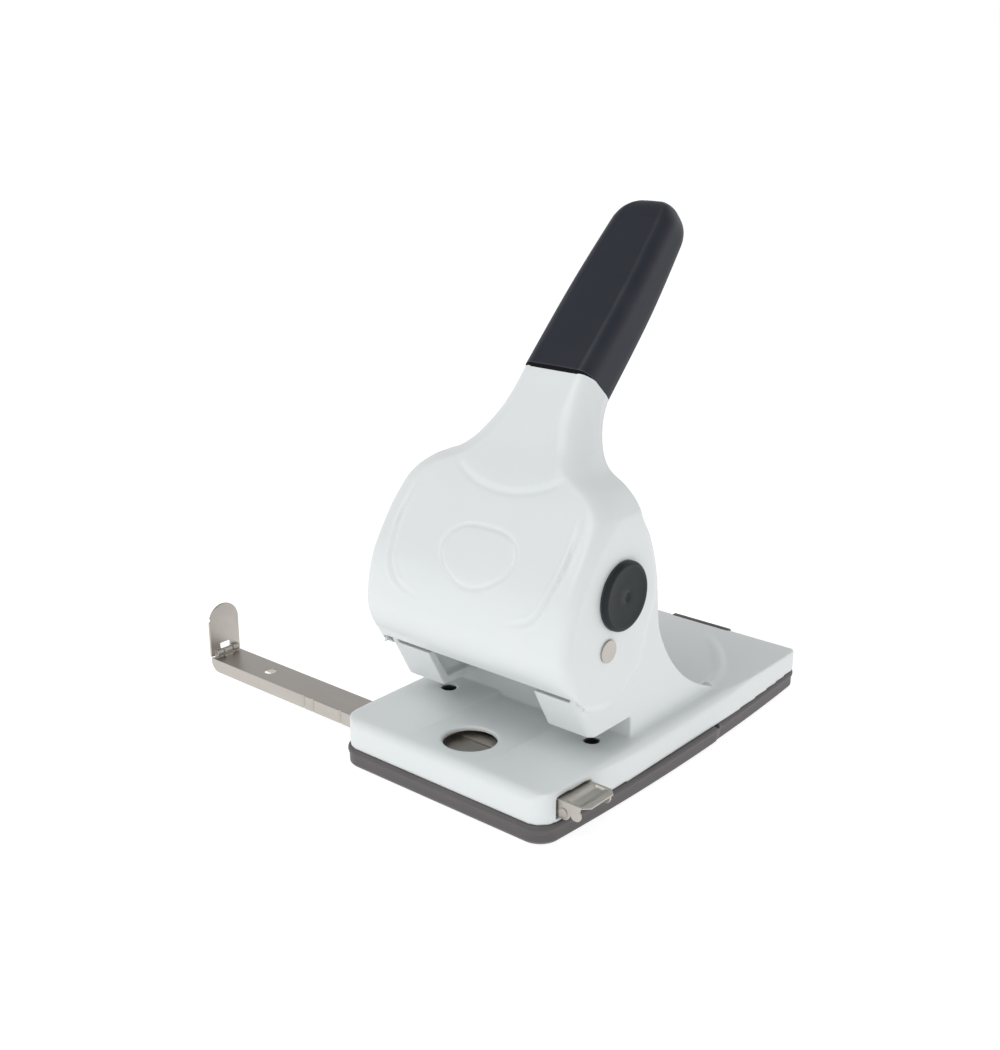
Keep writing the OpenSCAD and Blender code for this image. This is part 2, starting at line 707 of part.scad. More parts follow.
// Folding paper stop: upright plate with a round top and two knuckles
stop_half = 8.7;
stop_top = 42.3;
stop_slot_half = 3;
stop_slot_top = 22.6;
stop_notch_z = 35.6;               // small notch in the front edge
stop_t = 1;
module stop_paddle() {
    color(nickel) difference() {
        union() {
            translate([-stop_x - stop_t / 2, ruler_y, 0]) rotate([90, 0, 90])
            linear_extrude(stop_t) difference() {
                union() {
                    translate([-stop_half, 17.2]) square([2 * stop_half, stop_top - stop_half - 17.2]);
                    translate([0, stop_top - stop_half]) circle(r = stop_half);
                }
                translate([-stop_slot_half, 10]) square([2 * stop_slot_half, stop_slot_top - 10]);
                translate([-stop_half, stop_notch_z]) circle(r = 1);
            }
            for (s = [-1, 1]) {
                low = ruler_y + s * (middle_knuckle + knuckle_gap + end_knuckle / 2) - end_knuckle / 2;
                rod_y(low, low + end_knuckle, stop_knuckle_r, stop_hinge);
                block([-stop_x, low, stop_hinge[1] - stop_knuckle_r],
                      [stop_hinge[0], low + end_knuckle, stop_hinge[1] + stop_knuckle_r]);
            }
        }
        rod_y(ruler_y - 20, ruler_y + 20, stop_pin_r + running, stop_hinge);
    }
}

// Dark tray under the front of the base: catches the chips and swings down
seam_y = 70;
bead = 1.2;
tray_floor = 2;
tab_below_deck = 0.2;             // the rear tab's top, below the deck's rear edge
module tray_walls(d, z0, z1, y0, y1) {
    translate([0, 0, z0]) linear_extrude(z1 - z0) intersection() {
        base_plan(d);
        translate([-100, y0]) square([200, y1 - y0]);
    }
}

module chip_tray() {
    rear = tray_hinge[0] + 2.7;
    color(dark_rubber) difference() {
        union() {
            tray_walls(0.6, 0, 5.4, -100, rear);
            tray_walls(bead, 5.4, tray_h, -100, rear);
            tray_walls(-wall - 1, tray_h - 1, tray_h + 1.4, -100, 55);
        }
        translate([0, 0, tray_floor]) linear_extrude(30) intersection() {
            base_plan(-wall - 2.4);
            translate([-100, -100]) square([200, 100 + tray_hinge[0] - 3.2]);
        }
        block([-100, tray_hinge[0], tray_h - 1.1], [100, 100, tray_h + 3]);
        block([-100, 40, tray_h], [100, 100, 20]);
        // Round the rear edge about the hinge rod, and notch it for the pad's ears
        along_x(-80, 80) difference() {
            translate([tray_hinge[0], -1]) square([5, 1 + tray_hinge[1]]);
            translate(tray_hinge) circle(r = 2.7);
        }
        rod_x(-80, 80, tray_rod_r + running, tray_hinge);
        for (x = [-30, 30]) block([x - 4.3, tray_hinge[0] - 3.3, -1], [x + 4.3, 100, 20]);
    }
}

module tray_hinge_rod() {
    color(nickel) rod_x(-56, 56, tray_rod_r, tray_hinge);
}

// Fixed dark pad under the rear of the base, with a lift tab in the rear notch
module rear_pad() {
    color(dark_rubber) difference() {
        union() {
            tray_walls(0, 0, 5.4, seam_y + 0.4, 200);
            tray_walls(bead - 0.6, 5.4, tray_h, seam_y + 0.4, 200);
            for (x = [-30, 30]) {
                block([x - 4, tray_hinge[0], tray_hinge[1] - 2.6], [x + 4, seam_y + 3, tray_hinge[1] + 2.6]);
                rod_x(x - 4, x + 4, 2.6, tray_hinge);
            }
            block([-rear_notch_half + 0.3, base_rear - wall, tray_h - 1],
                  [rear_notch_half - 0.3, base_rear, deck_rear_z - tab_below_deck]);
        }
        difference() {
            translate([0, 0, tray_floor]) linear_extrude(30) intersection() {
                base_plan(-wall - 1.4);
                translate([-100, seam_y + 3]) square([200, 200]);
            }
            for (p = pad_screw_points) translate([p[0], p[1], 0]) cylinder(h = tray_h, r = 5);
            block([-rear_notch_half + 0.3, base_rear - wall - 2, 0], [rear_notch_half - 0.3, base_rear, 30]);
        }
        rod_x(-80, 80, tray_rod_r + 0.01, tray_hinge);
        for (p = pad_screw_points) translate([p[0], p[1], -1]) {
            cylinder(h = 20, r = 1.8);
            cylinder(h = 3.6, r = 3.4);
        }
    }
}

module rear_pad_screws() {
    color(nickel) for (p = pad_screw_points) translate([p[0], p[1], 0]) {
        translate([0, 0, 0.8]) cylinder(h = 1.8, r = 3.2);
        translate([0, 0, 2.6]) cylinder(h = 12, r = pad_screw_r - 0.02);
    }
}

base_casting();
die(-1);  // die_left
die(1);  // die_right
guide_bush(-1);  // guide_bush_left
guide_bush(1);  // guide_bush_right
pivot_axle();
axle_washers();
ruler_guide();
ruler_guide_screws();
clip_rivets();
clip_spring();
rear_pad();
rear_pad_screws();
tray_hinge_rod();
chip_tray();
lever_hood();
lever_core();
core_screws();
grip();
press_shaft();
shaft_clips();
roller(-1);  // roller_left
roller(1);  // roller_right
cap(-1);  // cap_left
cap(1);  // cap_right
crosshead();
punch_pin(-1);  // punch_pin_left
punch_pin(1);  // punch_pin_right
pin_clips();
pin_spring(-1);  // pin_spring_left
pin_spring(1);  // pin_spring_right
ruler_bar();
stop_hinge_pin();
stop_paddle();
lock_clip();
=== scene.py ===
import json
import math

import bmesh
import bpy
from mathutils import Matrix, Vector


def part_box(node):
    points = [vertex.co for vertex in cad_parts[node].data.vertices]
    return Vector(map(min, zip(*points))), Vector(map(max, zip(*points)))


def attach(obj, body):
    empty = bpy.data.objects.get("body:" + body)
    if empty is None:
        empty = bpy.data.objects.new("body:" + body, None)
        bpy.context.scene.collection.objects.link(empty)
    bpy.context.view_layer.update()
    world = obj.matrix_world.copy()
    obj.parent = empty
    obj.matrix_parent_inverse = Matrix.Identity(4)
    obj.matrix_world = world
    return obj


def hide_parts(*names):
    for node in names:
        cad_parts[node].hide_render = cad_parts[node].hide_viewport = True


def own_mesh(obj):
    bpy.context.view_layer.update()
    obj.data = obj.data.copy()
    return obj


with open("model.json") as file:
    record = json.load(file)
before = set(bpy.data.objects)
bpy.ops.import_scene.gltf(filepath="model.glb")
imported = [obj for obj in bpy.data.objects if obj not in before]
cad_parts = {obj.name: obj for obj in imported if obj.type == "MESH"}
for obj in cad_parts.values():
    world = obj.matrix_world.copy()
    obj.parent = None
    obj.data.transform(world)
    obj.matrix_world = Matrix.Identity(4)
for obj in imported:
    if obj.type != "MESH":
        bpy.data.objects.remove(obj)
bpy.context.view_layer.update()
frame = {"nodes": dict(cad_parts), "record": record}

MM = 0.001
NODES = frame["nodes"]

# ---------------------------------------------------------------- camera and stage

CAMERA_AT = (0.3491, -0.4238, 0.2907)
CAMERA_TURN = math.radians(40.27)
CAMERA_DIP = math.radians(18.46)
CAMERA_LENS = 47.91
LIGHT_TARGET = (0, 0.03, 0.08)
SKY_LOW = 0.88              # brightness of the sky near the horizon
SKY_HIGH = 0.36             # and overhead
SKY_FADE = (0.25, 0.65)     # heights on the sky between which it dims
FLOOR_HALF = 6
FLOOR_DROP = 0.0002         # keeps the floor just under the base
FLOOR_GREY = 0.45
FLOOR_GLOW = 0.82


def make_camera():
    data = bpy.data.cameras.new("camera")
    data.lens = CAMERA_LENS
    data.sensor_width = 36
    data.clip_start = 0.01
    camera = bpy.data.objects.new("camera", data)
    camera.location = CAMERA_AT
    camera.rotation_euler = (math.pi / 2 - CAMERA_DIP, 0, CAMERA_TURN)
    bpy.context.scene.collection.objects.link(camera)
    bpy.context.scene.camera = camera


def area_light(name, place, size, power):
    """A square lamp that faces the object."""
    data = bpy.data.lights.new(name, "AREA")
    data.shape = "SQUARE"
    data.size = size
    data.energy = power
    light = bpy.data.objects.new(name, data)
    light.location = place
    light.rotation_euler = (Vector(LIGHT_TARGET) - Vector(place)).to_track_quat("-Z", "Y").to_euler()
    bpy.context.scene.collection.objects.link(light)


def make_lights():
    area_light("key", (-0.2, -0.85, 1.3), size=0.9, power=7.2)
    area_light("fill", (1.2, -0.35, 0.5), size=1.0, power=0.3)
    area_light("back", (0.3, 1.0, 0.9), size=0.8, power=1.4)


def make_sky():
    """A studio sky: bright round the horizon, dimmer overhead, and white behind the object."""
    world = bpy.data.worlds.new("studio")
    world.use_nodes = True
    nodes, links = world.node_tree.nodes, world.node_tree.links
    where = nodes.new("ShaderNodeTexCoord")
    parts = nodes.new("ShaderNodeSeparateXYZ")
    height = nodes.new("ShaderNodeMapRange")
    height.interpolation_type = "SMOOTHSTEP"
    height.inputs["From Min"].default_value = SKY_FADE[0]
    height.inputs["From Max"].default_value = SKY_FADE[1]
    height.inputs["To Min"].default_value = SKY_LOW
    height.inputs["To Max"].default_value = SKY_HIGH
    links.new(where.outputs["Generated"], parts.inputs["Vector"])
    links.new(parts.outputs["Z"], height.inputs["Value"])
    backdrop = nodes.new("ShaderNodeLightPath")
    level = nodes.new("ShaderNodeMapRange")
    level.inputs["To Max"].default_value = 1.0
    links.new(height.outputs["Result"], level.inputs["To Min"])
    links.new(backdrop.outputs["Is Camera Ray"], level.inputs["Value"])
    links.new(level.outputs["Result"], nodes["Background"].inputs["Strength"])
    nodes["Background"].inputs["Color"].default_value = (1, 1, 1, 1)
    bpy.context.scene.world = world
    bpy.context.scene.view_settings.view_transform = "Standard"


def make_floor():
    """A plain pale floor, which shows soft shadows and is no part of the object."""
    half = FLOOR_HALF
    mesh = bpy.data.meshes.new("floor")
    corners = [(-half, -half, 0), (half, -half, 0), (half, half, 0), (-half, half, 0)]
    mesh.from_pydata(corners, [], [(0, 1, 2, 3)])
    floor = bpy.data.objects.new("floor", mesh)
    floor.location.z = -FLOOR_DROP
    bpy.context.scene.collection.objects.link(floor)
    material = bpy.data.materials.new("floor")
    material.use_nodes = True
    shader = material.node_tree.nodes["Principled BSDF"]
    shader.inputs["Base Color"].default_value = (FLOOR_GREY, FLOOR_GREY, FLOOR_GREY, 1)
    shader.inputs["Roughness"].default_value = 0.9
    shader.inputs["Specular IOR Level"].default_value = 0.1
    shader.inputs["Emission Color"].default_value = (1, 1, 1, 1)
    shader.inputs["Emission Strength"].default_value = FLOOR_GLOW
    mesh.materials.append(material)


# ---------------------------------------------------------------- materials

def surface(name, dark, light, metallic, rough, grain, bump, patch=0.025, stretch=(1, 1, 1),
            coat=0.0, gloss=0.5, wear=None):
    """A finish that varies in colour, roughness and height. Sizes are in metres."""
    material = bpy.data.materials.new(name)
    material.use_nodes = True
    nodes = material.node_tree.nodes
    links = material.node_tree.links
    shader = nodes["Principled BSDF"]
    shader.inputs["Metallic"].default_value = metallic
    shader.inputs["Coat Weight"].default_value = coat
    shader.inputs["Coat Roughness"].default_value = 0.25
    shader.inputs["Specular IOR Level"].default_value = gloss
    where = nodes.new("ShaderNodeTexCoord")
    scaled = nodes.new("ShaderNodeMapping")
    scaled.inputs["Scale"].default_value = stretch
    links.new(where.outputs["Object"], scaled.inputs["Vector"])

    def cloud(size, detail):
        texture = nodes.new("ShaderNodeTexNoise")
        texture.inputs["Scale"].default_value = 1 / size
        texture.inputs["Detail"].default_value = detail
        links.new(scaled.outputs["Vector"], texture.inputs["Vector"])
        return texture.outputs["Fac"]

    patches = cloud(patch, 4)
    grains = cloud(grain, 3)
    tint = nodes.new("ShaderNodeMix")
    tint.data_type = "RGBA"
    tint.inputs["A"].default_value = (*dark, 1)
    tint.inputs["B"].default_value = (*light, 1)
    links.new(patches, tint.inputs["Factor"])
    colour = tint.outputs["Result"]
    if wear:
        edges = nodes.new("ShaderNodeAttribute")
        edges.attribute_name = "edge"
        rubbed = nodes.new("ShaderNodeMath")
        rubbed.operation = "MULTIPLY"
        links.new(edges.outputs["Fac"], rubbed.inputs[0])
        links.new(patches, rubbed.inputs[1])
        worn = nodes.new("ShaderNodeMix")
        worn.data_type = "RGBA"
        worn.inputs["B"].default_value = (*wear, 1)
        links.new(rubbed.outputs["Value"], worn.inputs["Factor"])
        links.new(colour, worn.inputs["A"])
        colour = worn.outputs["Result"]
    links.new(colour, shader.inputs["Base Color"])
    sheen = nodes.new("ShaderNodeMapRange")
    sheen.inputs["To Min"].default_value = rough[0]
    sheen.inputs["To Max"].default_value = rough[1]
    links.new(patches, sheen.inputs["Value"])
    links.new(sheen.outputs["Result"], shader.inputs["Roughness"])
    relief = nodes.new("ShaderNodeBump")
    relief.inputs["Strength"].default_value = bump
    relief.inputs["Distance"].default_value = grain * 0.1
    links.new(grains, relief.inputs["Height"])
    links.new(relief.outputs["Normal"], shader.inputs["Normal"])
    return material


# Each finish: the two colours it varies between, whether it is metal, its range of roughness, the
# sizes of its grain and patches in metres, and the colour of its worn edges
FINISHES = {
    "white_paint": dict(dark=(0.735, 0.775, 0.775), light=(0.775, 0.81, 0.81), metallic=0,
                        rough=(0.30, 0.46), grain=0.0011, bump=0.10, patch=0.03, coat=0.15,
                        wear=(0.82, 0.85, 0.85)),
    "navy_grip": dict(dark=(0.019, 0.022, 0.031), light=(0.026, 0.029, 0.040), metallic=0,
                      rough=(0.34, 0.46), grain=0.00035, bump=0.25, patch=0.018, gloss=0.2,
                      wear=(0.10, 0.11, 0.12)),
    "slate_plastic": dict(dark=(0.018, 0.022, 0.025), light=(0.026, 0.031, 0.034), metallic=0,
                          rough=(0.30, 0.42), grain=0.0004, bump=0.18, patch=0.008, gloss=0.12,
                          wear=(0.12, 0.13, 0.135)),
    # near-black finish for the grip's lip: a painted shadow of the gap between the grip and the hood
    "lip_painted_shadow": dict(dark=(0.004, 0.004, 0.005), light=(0.008, 0.008, 0.010), metallic=0,
                      rough=(0.6, 0.8), grain=0.0004, bump=0.1, gloss=0.1),
    "dark_rubber": dict(dark=(0.072, 0.066, 0.066), light=(0.096, 0.089, 0.089), metallic=0,
                        rough=(0.42, 0.60), grain=0.0005, bump=0.25, patch=0.014,
                        wear=(0.20, 0.19, 0.19)),
    "nickel_plate": dict(dark=(0.45, 0.42, 0.385), light=(0.56, 0.53, 0.49), metallic=1,
                         rough=(0.28, 0.44), grain=0.0009, bump=0.12, patch=0.006,
                         stretch=(0.25, 1, 1)),
    "spring_steel": dict(dark=(0.30, 0.30, 0.31), light=(0.42, 0.42, 0.43), metallic=1,
                         rough=(0.25, 0.40), grain=0.0005, bump=0.15, patch=0.004),
    "tool_steel": dict(dark=(0.22, 0.22, 0.225), light=(0.34, 0.34, 0.35), metallic=1,
                       rough=(0.28, 0.45), grain=0.0006, bump=0.15, patch=0.006,
                       stretch=(1, 1, 0.3)),
}


def make_materials():
    """Every material, by the name of its finish."""
    return {name: surface(name, **finish) for name, finish in FINISHES.items()}


# ---------------------------------------------------------------- mesh helpers

def smooth_line(points, steps):
    """A smooth curve through the points, with that many steps between two of them."""
    points = [Vector(p) for p in points]
    last = len(points) - 1
    line = []
    for i in range(last):
        a, b, c, d = points[max(i - 1, 0)], points[i], points[i + 1], points[min(i + 2, last)]
        for k in range(steps):
            t = k / steps
            line.append(0.5 * (2 * b + (c - a) * t + (2 * a - 5 * b + 4 * c - d) * t * t
                               + (3 * b - a - 3 * c + d) * t ** 3))
    line.append(points[-1])
    return line


def lengths(line):
    """Distance along the line to each of its points."""
    total = [0.0]
    for a, b in zip(line, line[1:]):
        total.append(total[-1] + (b - a).length)
    return total


def spaced(line, count):
    """count points evenly spaced along the line."""
    along = lengths(line)
    return [at_length(line, along, along[-1] * i / (count - 1)) for i in range(count)]


def at_length(line, along, distance):
    """The point of the line at that distance along it."""
    i = 0
    while i < len(along) - 2 and along[i + 1] < distance:
        i += 1
    share = (distance - along[i]) / (along[i + 1] - along[i])
    return line[i].lerp(line[i + 1], share)


def value_at(line, where):
    """The curve's second value where its first value is the one given."""
    for a, b in zip(line, line[1:]):
        if where <= b.x:
            return mix(a.y, b.y, max(0.0, (where - a.x) / (b.x - a.x)))
    return line[-1].y


def ease(t):
    """0 below 0, 1 above 1, and a smooth step between."""
    t = max(0.0, min(1.0, t))
    return t * t * (3 - 2 * t)


def mix(a, b, t):
    """The value a share t of the way from a to b."""
    return a + (b - a) * t


def grid(rows, ring=False, cap=False):
    """Vertices and faces of a surface through rows of points. A ring closes each row."""
    across = len(rows[0])
    vertices = [p for row in rows for p in row]
    faces = []
    steps = across if ring else across - 1
    for i in range(len(rows) - 1):
        for j in range(steps):
            k = (j + 1) % across
            faces.append((i * across + j, i * across + k, (i + 1) * across + k, (i + 1) * across + j))
    if cap:
        faces.append(tuple(range(across - 1, -1, -1)))
        faces.append(tuple((len(rows) - 1) * across + j for j in range(across)))
    return vertices, faces


def face_outwards(obj):
    """Turns the faces so that their normals agree and point out."""
    bm = bmesh.new()
    bm.from_mesh(obj.data)
    bmesh.ops.recalc_face_normals(bm, faces=bm.faces)
    bm.to_mesh(obj.data)
    bm.free()


def new_object(name, vertices, faces):
    """An object from points in millimetres."""
    mesh = bpy.data.meshes.new(name)
    mesh.from_pydata([Vector(v) * MM for v in vertices], [], faces)
    mesh.validate()
    obj = bpy.data.objects.new(name, mesh)
    bpy.context.scene.collection.objects.link(obj)
    return obj


def apply_modifiers(obj):
    """Makes the modifiers' result the object's own mesh."""
    bpy.context.view_layer.update()
    evaluated = obj.evaluated_get(bpy.context.evaluated_depsgraph_get())
    mesh = bpy.data.meshes.new_from_object(evaluated)
    obj.modifiers.clear()
    obj.data = mesh


WEAR_FROM = 0.06            # how sharply a surface bends before it shows wear
WEAR_SPAN = 0.3


def mark_edges(obj):
    """Stores how sharply the surface bends outwards at each vertex, for wear."""
    mesh = obj.data
    bm = bmesh.new()
    bm.from_mesh(mesh)
    bm.normal_update()
    values = []
    for vertex in bm.verts:
        bend = 0.0
        for edge in vertex.link_edges:
            other = edge.other_vert(vertex)
            away = (other.co - vertex.co).normalized()
            bend = max(bend, -away.dot(vertex.normal))
        values.append(ease((bend - WEAR_FROM) / WEAR_SPAN))
    bm.free()
    attribute = mesh.attributes.new("edge", "FLOAT", "POINT")
    attribute.data.foreach_set("value", values)


def shade(obj, angle=None):
    """Smooth shading, with creases kept where the surface turns by more than angle."""
    for polygon in obj.data.polygons:
        polygon.use_smooth = True
    if angle:
        obj.data.set_sharp_from_angle(angle=math.radians(angle))


def finish_piece(obj, body, replaced, slot, angle=None, worn=True):
    """Shades a piece, gives it its finish and puts it on its body in place of the nodes it replaces."""
    face_outwards(obj)
    if worn:
        mark_edges(obj)
    shade(obj, angle)
    obj.data.materials.clear()
    obj.data.materials.append(MATERIALS[slot])
    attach(obj, body)
    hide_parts(*replaced)


def softened(node, name, voxel, rounds):
    """A copy of a CAD node with its edges softened, as a cast or moulded piece has them."""
    obj = bpy.data.objects.new(name, NODES[node].data.copy())
    bpy.context.scene.collection.objects.link(obj)
    bm = bmesh.new()
    bm.from_mesh(obj.data)
    bmesh.ops.remove_doubles(bm, verts=bm.verts, dist=1e-6)
    bm.to_mesh(obj.data)
    bm.free()
    remesh = obj.modifiers.new("remesh", "REMESH")
    remesh.mode = "VOXEL"
    remesh.voxel_size = voxel * MM
    soften = obj.modifiers.new("soften", "SMOOTH")
    soften.factor = 0.5
    soften.iterations = rounds
    apply_modifiers(obj)
    return obj


def lathe_x(profile, centre, mirror=False):
    """A turned piece about an axis along X. The profile is (x, radius)."""
    sides = 96
    rows = []
    for x, radius in profile:
        rows.append([(-x if mirror else x, centre[0] + radius * math.cos(2 * math.pi * k / sides),
                      centre[1] + radius * math.sin(2 * math.pi * k / sides)) for k in range(sides)])
    return grid(rows, ring=True, cap=True)


# ---------------------------------------------------------------- lever hood

PIVOT = (-10.5, 69.5)
SHAFT = (-2.0, 90.5)
HOOD_OUT = 54.5
SHEET = 1.4
# The hood's side view, as (y, z): its front line from the bottom up, and the rear edge of its wall
HOOD_FRONT = [(-28.6, 53.6), (-34.6, 60.5), (-37.8, 69), (-38, 77), (-35.3, 89.5), (-30.1, 100),
              (-16.1, 120), (-8.8, 129.6), (0.8, 141), (9.8, 152.6), (22.6, 169.5)]
HOOD_REAR = [(12.8, 55), (16.4, 63), (19, 72), (23.4, 81), (23.8, 90), (21.4, 100), (17.6, 110), (12, 120),
             (11.4, 128), (14.6, 134.6), (19.8, 141.6), (26.2, 149.6), (34.6, 157.4)]
# Half width of the hood by height
HOOD_HALF = [(40, HOOD_OUT), (84, HOOD_OUT), (116, HOOD_OUT), (124.3, 53), (130, 46.8), (134.6, 36.5),
             (140, 30), (146.4, 25.6), (154, 21.6), (162, 18.9), (172, 17.2)]
LOBE_R = 25
LOBE_STEP = 3               # degrees between two points of the lobe
LOBE_START = -138           # degrees, where the lobe meets the front panel
LOBE_END = -40
LOBE_CORNER = -78           # where the wall's bottom edge becomes its rear edge
LOBE_SHARE = 0.4            # share of the rows over which the lobe's roundness fades
LOBE_BLEND = 14             # height over which the bend turns from the lobe into the side
BEND_FOOT = 5.5             # radius of the bend between front and side, at the hood's foot
BEND_SHOULDER = 10.0        # at the shoulder
BEND_NECK = 6.0             # and up the neck
ROWS = 190
PANEL_STEPS = 64
BEND_STEPS = 8
WALL_STEPS = 40
RIM_TUCK = 0.8              # the rim of the side walls turns in by this much
RIM_WIDTH = 3.5
FRONT_LINE = smooth_line(HOOD_FRONT, 12)
FRONT_ALONG = lengths(FRONT_LINE)
HALF_LINE = smooth_line(HOOD_HALF, 12)
# The pressed outlines on the front panel, as (across, up along the panel)
GROOVE = smooth_line([(42.5, 80), (44.3, 68), (44.3, 57), (42.2, 46), (39, 38), (33, 33), (20, 29.6)], 6)
GROOVE_DEPTH = 0.75
GROOVE_LIP = 0.3            # height of the raised lines along both its sides
PRESSED_HALF = 1.5          # half width of the groove and of those lines
BOSS_CENTRE = (2.0, 53.5)
BOSS_HALF = (19.0, 13.0)
BOSS_DEPTH = 0.6
TONGUE_LOW = 81.6
TONGUE_HALF = 27.0
TONGUE_DEPTH = 0.35         # depth of the line under the tongue
TONGUE_RISE = 0.5


def dent(distance, half_width):
    """1 in the middle of a pressed line, falling smoothly to 0 at its edges."""
    return ease(1 - abs(distance) / half_width)


def distance_to_line(line, x, s):
    """Distance to a polyline, and how far along it the nearest point is, from 0 to 1."""
    best, where = 1e9, 0.0
    point = Vector((x, s))
    for i, (a, b) in enumerate(zip(line, line[1:])):
        side = b - a
        share = max(0.0, min(1.0, (point - a).dot(side) / side.length_squared))
        gap = (point - a - side * share).length
        if gap < best:
            best, where = gap, (i + share) / (len(line) - 1)
    return best, where


def pressed(x, s):
    """Height of the front panel's pressings above its plain surface, in millimetres."""
    height = 0.0
    gap, where = distance_to_line(GROOVE, abs(x), s)
    if gap < 4:
        taper = ease(where / 0.25) * ease((1 - where) / 0.3)
        height -= GROOVE_DEPTH * taper * dent(gap, PRESSED_HALF)
        height += GROOVE_LIP * taper * dent(gap - 2.0, PRESSED_HALF)
    dx, ds = x - BOSS_CENTRE[0], s - BOSS_CENTRE[1]
    turn = math.atan2(ds, dx)
    reach = 1 / math.hypot(math.cos(turn) / BOSS_HALF[0], math.sin(turn) / BOSS_HALF[1])
    reach *= 1 + 0.05 * math.sin(3 * turn)
    height -= BOSS_DEPTH * dent(math.hypot(dx, ds) - reach, 1.4)
    if abs(x) < TONGUE_HALF + 6:
        low = TONGUE_LOW + 8.5 * (abs(x) / TONGUE_HALF) ** 2.2
        fade = ease((TONGUE_HALF + 4 - abs(x)) / 10)
        height -= TONGUE_DEPTH * fade * dent(s - low, 2.0)
        height += TONGUE_RISE * fade * ease((s - low) / 3.5) * ease((low + 30 - s) / 24)
    return height


def bend_radius(s):
    """Radius of the bend between front panel and side wall: widest at the shoulder."""
    widens = (BEND_SHOULDER - BEND_FOOT) * ease((s - 62) / 28)
    narrows = (BEND_SHOULDER - BEND_NECK) * ease((s - 112) / 26)
    return BEND_FOOT + widens - narrows


def bend_direction(s, normal):
    """Which way the bend turns in: along the lobe's edge at the bottom, and into the hood above."""
    start = math.radians(LOBE_START)
    along_lobe = Vector((-math.sin(start), math.cos(start)))
    return along_lobe.lerp(normal, ease(s / LOBE_BLEND)).normalized()


def panel_rows():
    """Each row's point on the front panel, its height along the panel, and its inward normal."""
    rows = []
    for i in range(ROWS + 1):
        s = FRONT_ALONG[-1] * i / ROWS
        ahead = at_length(FRONT_LINE, FRONT_ALONG, min(s + 0.5, FRONT_ALONG[-1]))
        behind = at_length(FRONT_LINE, FRONT_ALONG, max(s - 0.5, 0.0))
        up = (ahead - behind).normalized()
        rows.append((at_length(FRONT_LINE, FRONT_ALONG, s), s, Vector((up.y, -up.x))))
    return rows


def wall_rows(bend_ends):
    """Points of the side wall, from where the bend ends to the rear edge, row by row."""
    def lobe(low, high):
        turns = [math.radians(a) for a in range(low, high + 1, LOBE_STEP)]
        return [Vector(PIVOT) + LOBE_R * Vector((math.cos(a), math.sin(a))) for a in turns]

    bottom = spaced([bend_ends[0]] + lobe(LOBE_START + 18, LOBE_CORNER), WALL_STEPS + 1)
    rear_line = [bottom[-1]] + lobe(LOBE_CORNER + LOBE_STEP, LOBE_END) + smooth_line(HOOD_REAR, 8)
    rear = spaced(rear_line, ROWS + 1)
    rows = []
    for i in range(ROWS + 1):
        follow = 1 - ease(i / ROWS / LOBE_SHARE)
        row = []
        for k in range(1, WALL_STEPS + 1):
            u = k / WALL_STEPS
            round_off = bottom[k] - bottom[0].lerp(bottom[-1], u)
            row.append(bend_ends[i].lerp(rear[i], u) + round_off * follow)
        rows.append(row)
    return rows


def hood_rows():
    """The whole hood, row by row from the bottom up, each from the left rear edge to the right one."""
    panel = panel_rows()
    directions = [bend_direction(s, normal) for point, s, normal in panel]
    ends = [point + turn * bend_radius(s) for (point, s, normal), turn in zip(panel, directions)]
    walls = wall_rows(ends)
    rows = []
    for (point, s, normal), turn, wall in zip(panel, directions, walls):
        radius = bend_radius(s)
        flat = value_at(HALF_LINE, point.y) - radius
        right, left = [], []
        for k in range(PANEL_STEPS + 1):
            x = flat * k / PANEL_STEPS
            right.append((x, point - normal * pressed(x, s)))
            left.append((-x, point - normal * pressed(-x, s)))
        sides = []
        for k in range(1, BEND_STEPS + 1):
            angle = math.radians(90 * k / BEND_STEPS)
            place = point + turn * radius * (1 - math.cos(angle))
            sides.append((value_at(HALF_LINE, place.y) - radius * (1 - math.sin(angle)), place))
        for below, place in zip(walls[0], wall):
            rim = min((wall[-1] - place).length, (below - place).length)
            sides.append((value_at(HALF_LINE, place.y) - RIM_TUCK * ease(1 - rim / RIM_WIDTH), place))
        left += [(-x, place) for x, place in sides]
        across = list(reversed(left[1:])) + right + sides
        rows.append([(x, place.x, place.y) for x, place in across])
    return rows


def make_hood():
    """The hood's outer surface, thickened inwards into sheet."""
    obj = new_object("hood_shell", *grid(hood_rows()))
    face_outwards(obj)
    thick = obj.modifiers.new("sheet", "SOLIDIFY")
    thick.thickness = SHEET * MM
    thick.offset = -1
    apply_modifiers(obj)
    finish_piece(obj, "lever", ["lever_hood"], "white_paint", angle=50)


# ---------------------------------------------------------------- grip and caps

GRIP_LEAN = math.radians(45.4)
GRIP_FOOT = Vector((22.6, 169.5))
GRIP_LEN = 93.0
GRIP_HALF = smooth_line([(0, 17.6), (44, 17.5), (84, 15.5), (93, 14.6)], 8)
GRIP_THICK = smooth_line([(0, 23.0), (44, 21.3), (84, 18.6), (93, 18.0)], 8)
GRIP_FRONT = -1.0
GRIP_DOME = 14.0            # height of the rounded top
DOME_NARROWS = 0.56         # how much of its width and thickness the sleeve loses over the dome
DOME_THINS = 0.74
LIP_LEVELS = [-0.6, -0.4, -0.1, 0.3, 0.9]   # heights of the rings of the lip at the foot, whose near-black colour is painted shadow
LIP_INSET = 0.9


def from_grip(x, depth, up):
    """A point of the grip's own frame, as a point of the part."""
    return (x, GRIP_FOOT.x + depth * math.cos(GRIP_LEAN) + up * math.sin(GRIP_LEAN),
            GRIP_FOOT.y - depth * math.sin(GRIP_LEAN) + up * math.cos(GRIP_LEAN))


